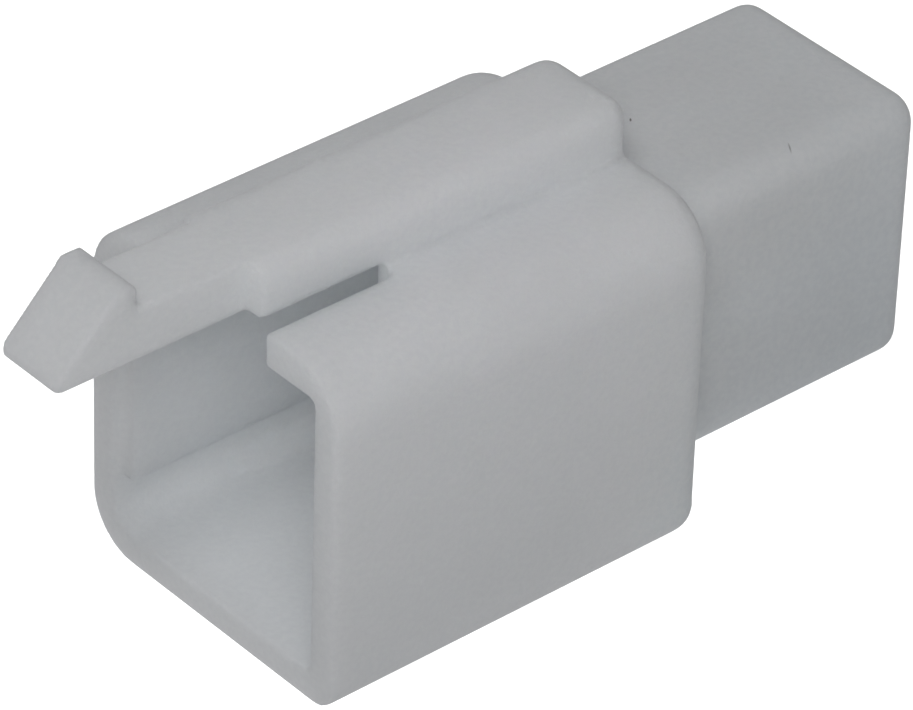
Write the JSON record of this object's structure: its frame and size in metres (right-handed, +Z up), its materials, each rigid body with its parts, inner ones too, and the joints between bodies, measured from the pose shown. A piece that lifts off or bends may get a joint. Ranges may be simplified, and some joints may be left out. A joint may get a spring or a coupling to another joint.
{
  "type": "connector housing",
  "caption": "Hooded plastic connector housing: keyed socket at the front, latch arm with a ramped catch on the roof, narrower wire block with terminal cavities behind.",
  "frame": {"origin": "middle of the part's box, on the plane of the hood's flat base", "axes": "-Y out of the hood's mouth, the way the mating plug leaves; +Y the way the wires leave; +Z up towards the latch; +X to the right seen from the mouth"},
  "size_m": [0.0146, 0.04, 0.0189],
  "materials": {
    "nylon": "natural moulded nylon, milky and slightly see-through, satin"
  },
  "bodies": {
    "root": {"housing": "nylon"}
  },
  "joints": []
}
